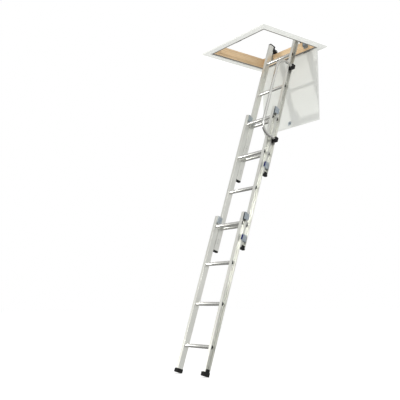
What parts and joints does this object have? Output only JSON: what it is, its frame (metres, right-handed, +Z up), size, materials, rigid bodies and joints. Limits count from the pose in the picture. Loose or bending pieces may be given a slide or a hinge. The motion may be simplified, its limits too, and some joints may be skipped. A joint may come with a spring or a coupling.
{
  "type": "sliding attic ladder",
  "caption": "Sliding three-section attic ladder with round rungs, a bent side handrail and rubber feet, hung in a timber-lined ceiling hatch with a drop-down door.",
  "frame": {"origin": "centre of the hatch opening, in the plane of the ceiling", "axes": "+Z up, +X from the climber towards the door's hinge side, +Y to the climber's left"},
  "size_m": [1.0486, 0.706, 2.5454],
  "materials": {
    "lining_wood": "planed softwood, clear sealed",
    "trim_white": "white satin paint on timber moulding",
    "door_white": "white laminated panel",
    "seal_rubber": "foam rubber strip",
    "screw_steel": "zinc-plated screws and bolts",
    "zinc_steel": "bright zinc-plated pressed steel",
    "black_plastic": "moulded black nylon",
    "navy_nylon": "moulded navy nylon",
    "foot_rubber": "ribbed black rubber",
    "stile_aluminium": "mill-finish extrusion, lengthwise die lines",
    "rung_aluminium": "grooved extruded tube, swaged ends",
    "rail_aluminium": "polished bent tube",
    "rivet_aluminium": "domed rivets"
  },
  "bodies": {
    "root": {"lining_left": "lining_wood", "lining_right": "lining_wood", "lining_hinge_side": "lining_wood", "lining_latch_side": "lining_wood", "architrave_left": "trim_white", "architrave_right": "trim_white", "architrave_hinge_side": "trim_white", "architrave_latch_side": "trim_white", "draught_seal": "seal_rubber", "hatch_screws": "screw_steel", "door_hinge_frame_leaves": "zinc_steel", "door_hinge_pins": "screw_steel", "latch_keeper": "zinc_steel", "pivot_bracket_left": "zinc_steel", "pivot_bracket_right": "zinc_steel"},
    "door": {"door_panel": "door_white", "door_hinge_door_leaves": "zinc_steel", "latch_case": "zinc_steel"},
    "latch": {"latch_bolt": "zinc_steel"},
    "cradle": {"pivot_bolts": "screw_steel", "cradle_shoe_left": "black_plastic", "cradle_shoe_right": "black_plastic"},
    "upper_section": {"upper_end_caps": "black_plastic", "upper_guide_brackets": "zinc_steel", "upper_guide_shoes": "navy_nylon", "upper_rivets": "rivet_aluminium", "upper_rung_1": "rung_aluminium", "upper_rung_2": "rung_aluminium", "upper_rung_3": "rung_aluminium", "upper_rung_4": "rung_aluminium", "upper_stile_left": "stile_aluminium", "upper_stile_right": "stile_aluminium", "top_caps": "black_plastic", "handrail": "rail_aluminium", "handrail_clamps": "black_plastic"},
    "middle_section": {"middle_end_caps": "black_plastic", "middle_guide_brackets": "zinc_steel", "middle_guide_shoes": "navy_nylon", "middle_rivets": "rivet_aluminium", "middle_rung_1": "rung_aluminium", "middle_rung_2": "rung_aluminium", "middle_rung_3": "rung_aluminium", "middle_rung_4": "rung_aluminium", "middle_stile_left": "stile_aluminium", "middle_stile_right": "stile_aluminium", "middle_top_brackets": "zinc_steel"},
    "middle_catch_left": {"middle_catch_left": "zinc_steel"},
    "middle_catch_right": {"middle_catch_right": "zinc_steel"},
    "bottom_section": {"bottom_rivets": "rivet_aluminium", "bottom_rung_1": "rung_aluminium", "bottom_rung_2": "rung_aluminium", "bottom_rung_3": "rung_aluminium", "bottom_rung_4": "rung_aluminium", "bottom_stile_left": "stile_aluminium", "bottom_stile_right": "stile_aluminium", "bottom_top_brackets": "zinc_steel", "feet": "foot_rubber"},
    "bottom_catch_left": {"bottom_catch_left": "zinc_steel"},
    "bottom_catch_right": {"bottom_catch_right": "zinc_steel"}
  },
  "joints": [
    {"name": "door_hinge", "type": "hinge", "parent": "root", "child": "door", "pos_m": [0.28, 0, -0.015], "axis": [0, 1, 0], "range_deg": [-5, 20]},
    {"name": "door_latch", "type": "hinge", "parent": "door", "child": "latch", "pos_m": [0.276, 0, -0.537], "axis": [1, 0, 0], "range_deg": [0, 90]},
    {"name": "ladder_pivot", "type": "hinge", "parent": "root", "child": "cradle", "pos_m": [0.268, 0, 0.094], "axis": [0, 1, 0], "range_deg": [0, 35]},
    {"name": "upper_slide", "type": "slide", "parent": "cradle", "child": "upper_section", "axis": [0.309, 0, 0.9511], "range_m": [0, 1.015]},
    {"name": "middle_slide", "type": "slide", "parent": "upper_section", "child": "middle_section", "axis": [0.309, 0, 0.9511], "range_m": [0, 0.58]},
    {"name": "bottom_slide", "type": "slide", "parent": "middle_section", "child": "bottom_section", "axis": [0.309, 0, 0.9511], "range_m": [0, 0.87]},
    {"name": "middle_catch_left_pivot", "type": "hinge", "parent": "middle_section", "child": "middle_catch_left", "pos_m": [-0.04104, 0.128, -0.54161], "axis": [0, -1, 0], "range_deg": [0, 30]},
    {"name": "middle_catch_right_pivot", "type": "hinge", "parent": "middle_section", "child": "middle_catch_right", "pos_m": [-0.04104, -0.128, -0.54161], "axis": [0, -1, 0], "range_deg": [0, 30]},
    {"name": "bottom_catch_left_pivot", "type": "hinge", "parent": "bottom_section", "child": "bottom_catch_left", "pos_m": [-0.35221, 0.128, -1.35528], "axis": [0, -1, 0], "range_deg": [0, 30]},
    {"name": "bottom_catch_right_pivot", "type": "hinge", "parent": "bottom_section", "child": "bottom_catch_right", "pos_m": [-0.35221, -0.128, -1.35528], "axis": [0, -1, 0], "range_deg": [0, 30]}
  ]
}
